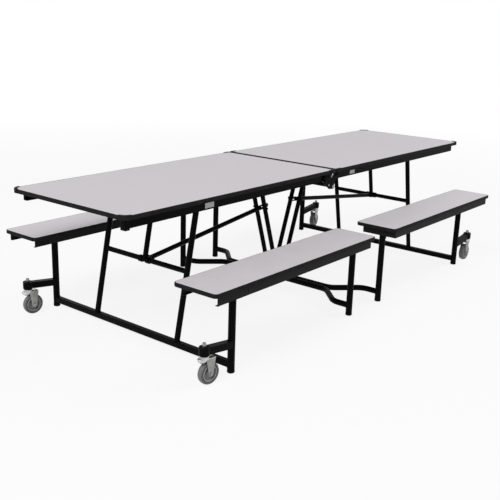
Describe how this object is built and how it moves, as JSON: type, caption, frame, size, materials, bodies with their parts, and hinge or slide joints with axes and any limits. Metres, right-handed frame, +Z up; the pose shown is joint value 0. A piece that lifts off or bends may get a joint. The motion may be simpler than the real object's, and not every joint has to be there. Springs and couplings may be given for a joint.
{
  "type": "cafeteria folding table with benches",
  "caption": "Mobile folding cafeteria table: two laminate tops hinged at the centre, attached benches, tubular steel frame and swivel casters.",
  "frame": {"origin": "on the floor, below the centre hinge line, midway between the benches", "axes": "+X along the table to its right half, +Y across towards the far bench, +Z up"},
  "size_m": [3.065, 1.43, 0.7395],
  "materials": {
    "board": "grey laminate over particle board, satin",
    "edge": "black moulded edge",
    "frame": "black powder coat, semi-gloss",
    "seat_rail": "dark powder coat, satin",
    "bright_steel": "plain steel",
    "zinc": "zinc plated",
    "wheel": "grey non-marking rubber and grey hub",
    "glide": "black moulded foot cap"
  },
  "bodies": {
    "left_end_frame": {"left_outer_bench_legs": "frame", "left_outer_glides": "glide", "left_floor_bar": "frame", "left_table_legs": "frame", "left_cross_brace": "frame", "left_link_bracket": "frame", "left_caster_arms": "frame"},
    "left_top": {"left_table_top": "board", "left_table_edge": "edge", "left_table_rails": "frame", "left_table_pivot_rod": "bright_steel", "left_leg_hanger": "frame", "left_hinge_arms": "frame", "hinge_pins": "bright_steel", "release_bar": "frame", "rail_catch": "frame"},
    "left_near_bench": {"left_near_seat": "board", "left_near_seat_edge": "edge", "left_near_seat_rails": "seat_rail"},
    "left_far_bench": {"left_far_seat": "board", "left_far_seat_edge": "edge", "left_far_seat_rails": "seat_rail"},
    "left_centre_frame": {"left_centre_bar": "frame", "left_inner_bench_legs": "frame", "left_inner_glides": "glide", "left_vee_legs": "frame"},
    "left_link": {"left_link_tube": "frame"},
    "right_end_frame": {"right_outer_bench_legs": "frame", "right_outer_glides": "glide", "right_floor_bar": "frame", "right_table_legs": "frame", "right_cross_brace": "frame", "right_link_bracket": "frame", "right_caster_arms": "frame"},
    "right_top": {"right_table_top": "board", "right_table_edge": "edge", "right_table_rails": "frame", "right_table_pivot_rod": "bright_steel", "right_leg_hanger": "frame", "right_hinge_arms": "frame"},
    "right_near_bench": {"right_near_seat": "board", "right_near_seat_edge": "edge", "right_near_seat_rails": "seat_rail"},
    "right_far_bench": {"right_far_seat": "board", "right_far_seat_edge": "edge", "right_far_seat_rails": "seat_rail"},
    "right_centre_frame": {"right_centre_bar": "frame", "right_inner_bench_legs": "frame", "right_inner_glides": "glide", "right_vee_legs": "frame"},
    "right_link": {"right_link_tube": "frame"},
    "near_left_fork": {"near_left_caster_fork": "zinc"},
    "near_left_wheel": {"near_left_caster_wheel": "wheel"},
    "far_left_fork": {"far_left_caster_fork": "zinc"},
    "far_left_wheel": {"far_left_caster_wheel": "wheel"},
    "near_right_fork": {"near_right_caster_fork": "zinc"},
    "near_right_wheel": {"near_right_caster_wheel": "wheel"},
    "far_right_fork": {"far_right_caster_fork": "zinc"},
    "far_right_wheel": {"far_right_caster_wheel": "wheel"}
  },
  "joints": [
    {"name": "left_fold", "type": "hinge", "parent": "left_end_frame", "child": "left_top", "pos_m": [-0.996, 0, 0.693], "axis": [0, -1, 0], "range_deg": [0, 78]},
    {"name": "centre_hinge", "type": "hinge", "parent": "left_top", "child": "right_top", "pos_m": [0, 0, 0.64], "axis": [0, 1, 0], "range_deg": [0, 156]},
    {"name": "right_fold", "type": "hinge", "parent": "right_top", "child": "right_end_frame", "pos_m": [0.996, 0, 0.693], "axis": [0, -1, 0], "range_deg": [0, 78]},
    {"name": "left_near_bench_fold", "type": "hinge", "parent": "left_end_frame", "child": "left_near_bench", "pos_m": [-1.125, -0.612, 0.404], "axis": [0, -1, 0], "range_deg": [0, 72.94]},
    {"name": "left_far_bench_fold", "type": "hinge", "parent": "left_end_frame", "child": "left_far_bench", "pos_m": [-1.125, 0.612, 0.404], "axis": [0, -1, 0], "range_deg": [0, 72.94]},
    {"name": "left_link_fold", "type": "hinge", "parent": "left_end_frame", "child": "left_link", "pos_m": [-1.024, 0, 0.378], "axis": [0, -1, 0], "range_deg": [0, 71.14]},
    {"name": "left_centre_fold", "type": "hinge", "parent": "left_top", "child": "left_centre_frame", "pos_m": [-0.19, 0, 0.691], "axis": [0, 1, 0], "range_deg": [0, 88]},
    {"name": "right_near_bench_fold", "type": "hinge", "parent": "right_end_frame", "child": "right_near_bench", "pos_m": [1.125, -0.612, 0.404], "axis": [0, 1, 0], "range_deg": [0, 72.94]},
    {"name": "right_far_bench_fold", "type": "hinge", "parent": "right_end_frame", "child": "right_far_bench", "pos_m": [1.125, 0.612, 0.404], "axis": [0, 1, 0], "range_deg": [0, 72.94]},
    {"name": "right_link_fold", "type": "hinge", "parent": "right_end_frame", "child": "right_link", "pos_m": [1.024, 0, 0.378], "axis": [0, 1, 0], "range_deg": [0, 71.14]},
    {"name": "right_centre_fold", "type": "hinge", "parent": "right_top", "child": "right_centre_frame", "pos_m": [0.19, 0, 0.691], "axis": [0, -1, 0], "range_deg": [0, 88]},
    {"name": "near_left_swivel", "type": "hinge", "parent": "left_end_frame", "child": "near_left_fork", "pos_m": [-1.303, -0.612, 0.16], "axis": [0, 0, 1], "continuous": true},
    {"name": "near_left_roll", "type": "hinge", "parent": "near_left_fork", "child": "near_left_wheel", "pos_m": [-1.27923, -0.61534, 0.053], "axis": [0.1392, 0.9903, 0], "continuous": true},
    {"name": "far_left_swivel", "type": "hinge", "parent": "left_end_frame", "child": "far_left_fork", "pos_m": [-1.303, 0.612, 0.16], "axis": [0, 0, 1], "continuous": true},
    {"name": "far_left_roll", "type": "hinge", "parent": "far_left_fork", "child": "far_left_wheel", "pos_m": [-1.27923, 0.60866, 0.053], "axis": [0.1392, 0.9903, 0], "continuous": true},
    {"name": "near_right_swivel", "type": "hinge", "parent": "right_end_frame", "child": "near_right_fork", "pos_m": [1.303, -0.612, 0.16], "axis": [0, 0, 1], "continuous": true},
    {"name": "near_right_roll", "type": "hinge", "parent": "near_right_fork", "child": "near_right_wheel", "pos_m": [1.279, -0.612, 0.053], "axis": [0, -1, 0], "continuous": true},
    {"name": "far_right_swivel", "type": "hinge", "parent": "right_end_frame", "child": "far_right_fork", "pos_m": [1.303, 0.612, 0.16], "axis": [0, 0, 1], "continuous": true},
    {"name": "far_right_roll", "type": "hinge", "parent": "far_right_fork", "child": "far_right_wheel", "pos_m": [1.27937, 0.60783, 0.053], "axis": [0.1736, -0.9848, 0], "continuous": true}
  ],
  "couplings": [
    {"joint": "centre_hinge", "follows": "left_fold", "ratio": 2},
    {"joint": "right_fold", "follows": "left_fold", "ratio": 1},
    {"joint": "left_near_bench_fold", "follows": "left_fold", "ratio": 0.935},
    {"joint": "left_far_bench_fold", "follows": "left_fold", "ratio": 0.935},
    {"joint": "left_link_fold", "follows": "left_fold", "ratio": 0.912},
    {"joint": "left_centre_fold", "follows": "left_fold", "ratio": 1.1282},
    {"joint": "right_near_bench_fold", "follows": "left_fold", "ratio": 0.935},
    {"joint": "right_far_bench_fold", "follows": "left_fold", "ratio": 0.935},
    {"joint": "right_link_fold", "follows": "left_fold", "ratio": 0.912},
    {"joint": "right_centre_fold", "follows": "left_fold", "ratio": 1.1282}
  ]
}
